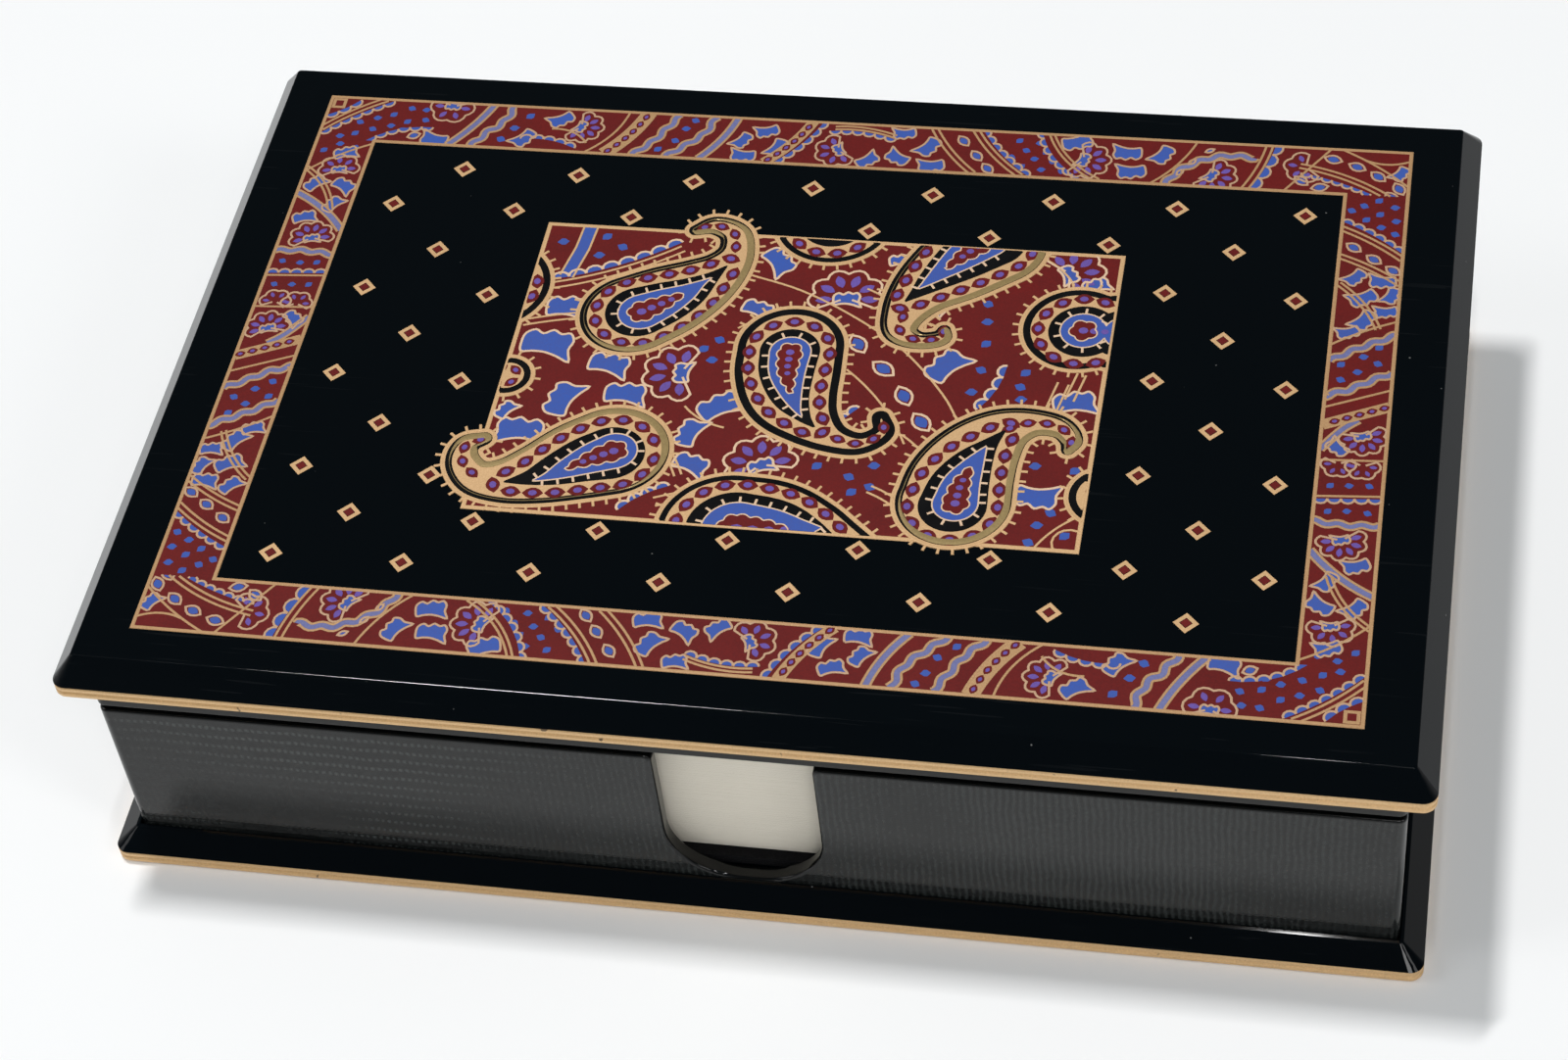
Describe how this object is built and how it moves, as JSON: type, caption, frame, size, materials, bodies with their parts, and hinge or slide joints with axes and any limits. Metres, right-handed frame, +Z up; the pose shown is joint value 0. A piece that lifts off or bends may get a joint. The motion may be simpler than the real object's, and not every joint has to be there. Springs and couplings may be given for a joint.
{
  "type": "stationery box",
  "caption": "Flat lacquered box for note paper: bevelled hinged lid with a low rim, covered tray with a thumb notch, gilt board edges.",
  "frame": {"origin": "centre of the bottom face, on the surface that the box stands on", "axes": "+X to the right along the long side, +Y from the notched front to the hinged back, +Z up"},
  "size_m": [0.235, 0.1574, 0.0555],
  "materials": {
    "black_lacquer": "high-gloss black lacquer over a wooden board",
    "gilt_edge": "gold-coloured edge moulding, satin",
    "linen_covering": "board covered in a dark grey linen-textured paper with a clear gloss",
    "grey_lacquer": "smooth dark grey lacquer",
    "note_paper": "uncoated ivory note paper",
    "black_felt": "short black felt",
    "black_lining": "matt black lining cloth",
    "brass_hardware": "drawn brass, lightly polished"
  },
  "bodies": {
    "tray": {"base_board": "black_lacquer", "base_felt": "black_felt", "base_band_front": "gilt_edge", "base_band_rear": "gilt_edge", "base_band_left": "gilt_edge", "base_band_right": "gilt_edge", "tray_wall_front": "linen_covering", "tray_wall_rear": "linen_covering", "tray_wall_left": "linen_covering", "tray_wall_right": "linen_covering", "floor_lining": "black_lining", "note_paper_stack": "note_paper", "lid_bumpers": "black_felt", "hinge_tray_leaf_left": "brass_hardware", "hinge_tray_leaf_right": "brass_hardware", "hinge_pin_left": "brass_hardware", "hinge_pin_right": "brass_hardware", "hinge_tray_screws": "brass_hardware"},
    "lid": {"lid_board": "black_lacquer", "lid_band_front": "gilt_edge", "lid_band_rear": "gilt_edge", "lid_band_left": "gilt_edge", "lid_band_right": "gilt_edge", "lid_rail_front": "grey_lacquer", "lid_rail_rear": "grey_lacquer", "lid_rail_left": "grey_lacquer", "lid_rail_right": "grey_lacquer", "lid_lining": "black_lining", "hinge_lid_leaf_left": "brass_hardware", "hinge_lid_leaf_right": "brass_hardware", "hinge_lid_screws": "brass_hardware"}
  },
  "joints": [
    {"name": "lid_hinge", "type": "hinge", "parent": "tray", "child": "lid", "pos_m": [0, 0.0761, 0.04], "axis": [-1, 0, 0], "range_deg": [0, 100]}
  ]
}
